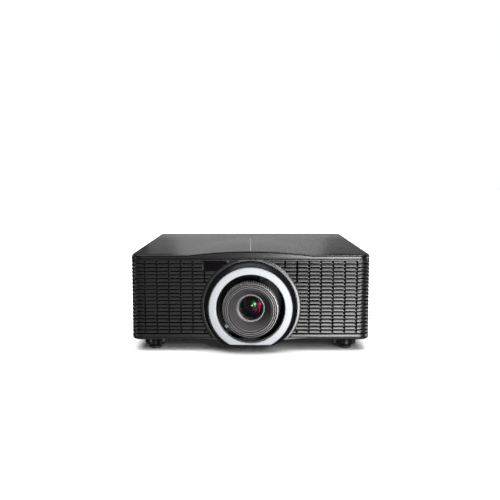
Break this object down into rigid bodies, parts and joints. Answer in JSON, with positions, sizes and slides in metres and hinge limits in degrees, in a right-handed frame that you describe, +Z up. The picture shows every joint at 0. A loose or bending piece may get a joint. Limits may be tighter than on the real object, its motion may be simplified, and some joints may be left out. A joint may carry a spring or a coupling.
{
  "type": "installation projector",
  "caption": "Wide black projector cabinet with louvred sides, a motor-shifted lens inside a silver trim ring, and screw feet.",
  "frame": {"origin": "on the ground, under the middle of the object's bounding box, feet wound fully in", "axes": "the lens looks towards -Y, +X is to the right of someone facing the lens, +Z is up"},
  "size_m": [0.484, 0.536, 0.2055],
  "materials": {
    "cabinet_plastic": "fine-textured satin",
    "lid_paint": "satin grey paint",
    "base_paint": "satin black paint",
    "gloss_black": "high gloss",
    "silver_paint": "satin silver white",
    "dark_window": "polished, infrared-clear",
    "cast_metal": "die-cast, painted black",
    "dark_metal": "black anodised",
    "lens_black": "black anodised",
    "bright_metal": "turned",
    "glass": "coated optical glass",
    "heat_sink": "extruded, black anodised",
    "board": "solder mask",
    "steel_case": "black coated sheet",
    "socket_metal": "nickel plated",
    "inlet_plastic": "moulded",
    "rocker_plastic": "moulded",
    "key_rubber": "matt silicone",
    "light_pipe": "translucent",
    "wheel_plastic": "moulded",
    "pad_rubber": "matt",
    "fan_plastic": "moulded",
    "coated_disc": "dark coated",
    "screw_steel": "blackened"
  },
  "bodies": {
    "cabinet": {"base_tray": "base_paint", "top_cover": "lid_paint", "front_fascia": "cabinet_plastic", "left_front_louvre": "cabinet_plastic", "right_front_louvre": "cabinet_plastic", "left_side_panel": "cabinet_plastic", "right_side_panel": "cabinet_plastic", "rear_panel": "cabinet_plastic", "lens_collar": "gloss_black", "lens_trim_ring": "silver_paint", "sensor_window": "dark_window", "lens_mount_frame": "cast_metal", "vertical_shift_motor": "dark_metal", "engine_housing": "cast_metal", "prism_block": "glass", "imaging_chip": "board", "chip_heat_sink": "heat_sink", "light_rod": "glass", "wheel_motors": "dark_metal", "laser_bank": "cast_metal", "laser_heat_sink": "heat_sink", "fan_frames": "fan_plastic", "main_board": "board", "power_supply": "steel_case", "mains_inlet": "inlet_plastic", "rear_sockets": "socket_metal", "status_lights": "light_pipe", "cover_screws": "screw_steel"},
    "vertical_shift": {"vertical_carriage": "dark_metal", "horizontal_shift_motor": "dark_metal"},
    "lens": {"horizontal_carriage": "dark_metal", "lens_barrel": "lens_black"},
    "zoom_ring": {"zoom_ring": "lens_black"},
    "zoom_group": {"zoom_group": "lens_black"},
    "focus_ring": {"focus_ring": "lens_black"},
    "front_cell": {"front_cell": "lens_black", "retaining_ring": "bright_metal", "front_lens": "glass"},
    "lock_lever": {"lens_lock_lever": "dark_metal"},
    "colour_wheel": {"colour_wheel": "coated_disc"},
    "phosphor_wheel": {"phosphor_wheel": "coated_disc"},
    "front_right_fan": {"front_right_fan": "fan_plastic"},
    "rear_right_fan": {"rear_right_fan": "fan_plastic"},
    "left_fan": {"left_fan": "fan_plastic"},
    "power_rocker": {"power_rocker": "rocker_plastic"},
    "key_power": {"key_power": "key_rubber"},
    "key_menu": {"key_menu": "key_rubber"},
    "key_up": {"key_up": "key_rubber"},
    "key_down": {"key_down": "key_rubber"},
    "key_left": {"key_left": "key_rubber"},
    "key_right": {"key_right": "key_rubber"},
    "key_enter": {"key_enter": "key_rubber"},
    "front_left_pad": {"front_left_pad": "pad_rubber"},
    "front_left_wheel": {"front_left_wheel": "wheel_plastic"},
    "front_right_pad": {"front_right_pad": "pad_rubber"},
    "front_right_wheel": {"front_right_wheel": "wheel_plastic"},
    "rear_left_pad": {"rear_left_pad": "pad_rubber"},
    "rear_left_wheel": {"rear_left_wheel": "wheel_plastic"},
    "rear_right_pad": {"rear_right_pad": "pad_rubber"},
    "rear_right_wheel": {"rear_right_wheel": "wheel_plastic"}
  },
  "joints": [
    {"name": "lens_shift_vertical", "type": "slide", "parent": "cabinet", "child": "vertical_shift", "axis": [0, 0, 1], "range_m": [-0.005, 0.005]},
    {"name": "lens_shift_horizontal", "type": "slide", "parent": "vertical_shift", "child": "lens", "axis": [1, 0, 0], "range_m": [-0.0035, 0.0035]},
    {"name": "zoom_ring_turn", "type": "hinge", "parent": "lens", "child": "zoom_ring", "pos_m": [0, -0.226, 0.0915], "axis": [0, 1, 0], "range_deg": [-30, 30]},
    {"name": "zoom_group_slide", "type": "slide", "parent": "lens", "child": "zoom_group", "axis": [0, 1, 0], "range_m": [-0.008, 0.008]},
    {"name": "focus_ring_turn", "type": "hinge", "parent": "lens", "child": "focus_ring", "pos_m": [0, -0.25, 0.0915], "axis": [0, 1, 0], "range_deg": [-35, 35]},
    {"name": "front_cell_slide", "type": "slide", "parent": "lens", "child": "front_cell", "axis": [0, 1, 0], "range_m": [-0.0015, 0.0015]},
    {"name": "lens_lock_swing", "type": "hinge", "parent": "lens", "child": "lock_lever", "pos_m": [-0.061, -0.219, 0.0665], "axis": [0, -1, 0], "range_deg": [0, 10]},
    {"name": "colour_wheel_spin", "type": "hinge", "parent": "cabinet", "child": "colour_wheel", "pos_m": [0.068, -0.069, 0.0915], "axis": [1, 0, 0], "continuous": true},
    {"name": "phosphor_wheel_spin", "type": "hinge", "parent": "cabinet", "child": "phosphor_wheel", "pos_m": [0.118, -0.067, 0.0915], "axis": [1, 0, 0], "continuous": true},
    {"name": "front_right_fan_spin", "type": "hinge", "parent": "cabinet", "child": "front_right_fan", "pos_m": [0.221, -0.12, 0.0925], "axis": [1, 0, 0], "continuous": true},
    {"name": "rear_right_fan_spin", "type": "hinge", "parent": "cabinet", "child": "rear_right_fan", "pos_m": [0.221, 0.04, 0.0925], "axis": [1, 0, 0], "continuous": true},
    {"name": "left_fan_spin", "type": "hinge", "parent": "cabinet", "child": "left_fan", "pos_m": [-0.221, -0.06, 0.0925], "axis": [1, 0, 0], "continuous": true},
    {"name": "power_rocker_tilt", "type": "hinge", "parent": "cabinet", "child": "power_rocker", "pos_m": [-0.145, 0.262, 0.1035], "axis": [1, 0, 0], "range_deg": [-10, 0]},
    {"name": "key_power_press", "type": "slide", "parent": "cabinet", "child": "key_power", "axis": [0, -1, 0], "range_m": [0, 0.0008], "stiffness_N_per_m": 900, "springref_m": -0.0006},
    {"name": "key_menu_press", "type": "slide", "parent": "cabinet", "child": "key_menu", "axis": [0, -1, 0], "range_m": [0, 0.0008], "stiffness_N_per_m": 900, "springref_m": -0.0006},
    {"name": "key_up_press", "type": "slide", "parent": "cabinet", "child": "key_up", "axis": [0, -1, 0], "range_m": [0, 0.0008], "stiffness_N_per_m": 900, "springref_m": -0.0006},
    {"name": "key_down_press", "type": "slide", "parent": "cabinet", "child": "key_down", "axis": [0, -1, 0], "range_m": [0, 0.0008], "stiffness_N_per_m": 900, "springref_m": -0.0006},
    {"name": "key_left_press", "type": "slide", "parent": "cabinet", "child": "key_left", "axis": [0, -1, 0], "range_m": [0, 0.0008], "stiffness_N_per_m": 900, "springref_m": -0.0006},
    {"name": "key_right_press", "type": "slide", "parent": "cabinet", "child": "key_right", "axis": [0, -1, 0], "range_m": [0, 0.0008], "stiffness_N_per_m": 900, "springref_m": -0.0006},
    {"name": "key_enter_press", "type": "slide", "parent": "cabinet", "child": "key_enter", "axis": [0, -1, 0], "range_m": [0, 0.0008], "stiffness_N_per_m": 900, "springref_m": -0.0006},
    {"name": "front_left_foot_drop", "type": "slide", "parent": "cabinet", "child": "front_left_pad", "axis": [0, 0, -1], "range_m": [0, 0.015]},
    {"name": "front_left_foot_turn", "type": "hinge", "parent": "front_left_pad", "child": "front_left_wheel", "pos_m": [-0.197, -0.195, 0.014], "axis": [0, 0, 1], "range_deg": [0, 1800]},
    {"name": "front_right_foot_drop", "type": "slide", "parent": "cabinet", "child": "front_right_pad", "axis": [0, 0, -1], "range_m": [0, 0.015]},
    {"name": "front_right_foot_turn", "type": "hinge", "parent": "front_right_pad", "child": "front_right_wheel", "pos_m": [0.197, -0.195, 0.014], "axis": [0, 0, 1], "range_deg": [0, 1800]},
    {"name": "rear_left_foot_drop", "type": "slide", "parent": "cabinet", "child": "rear_left_pad", "axis": [0, 0, -1], "range_m": [0, 0.015]},
    {"name": "rear_left_foot_turn", "type": "hinge", "parent": "rear_left_pad", "child": "rear_left_wheel", "pos_m": [-0.197, 0.208, 0.014], "axis": [0, 0, 1], "range_deg": [0, 1800]},
    {"name": "rear_right_foot_drop", "type": "slide", "parent": "cabinet", "child": "rear_right_pad", "axis": [0, 0, -1], "range_m": [0, 0.015]},
    {"name": "rear_right_foot_turn", "type": "hinge", "parent": "rear_right_pad", "child": "rear_right_wheel", "pos_m": [0.197, 0.208, 0.014], "axis": [0, 0, 1], "range_deg": [0, 1800]}
  ],
  "couplings": [
    {"joint": "zoom_group_slide", "follows": "zoom_ring_turn", "m_per_rad": 0.015279},
    {"joint": "front_cell_slide", "follows": "focus_ring_turn", "m_per_rad": 0.0024555},
    {"joint": "front_left_foot_turn", "follows": "front_left_foot_drop", "rad_per_m": 2094.4},
    {"joint": "front_right_foot_turn", "follows": "front_right_foot_drop", "rad_per_m": 2094.4},
    {"joint": "rear_left_foot_turn", "follows": "rear_left_foot_drop", "rad_per_m": 2094.4},
    {"joint": "rear_right_foot_turn", "follows": "rear_right_foot_drop", "rad_per_m": 2094.4}
  ]
}
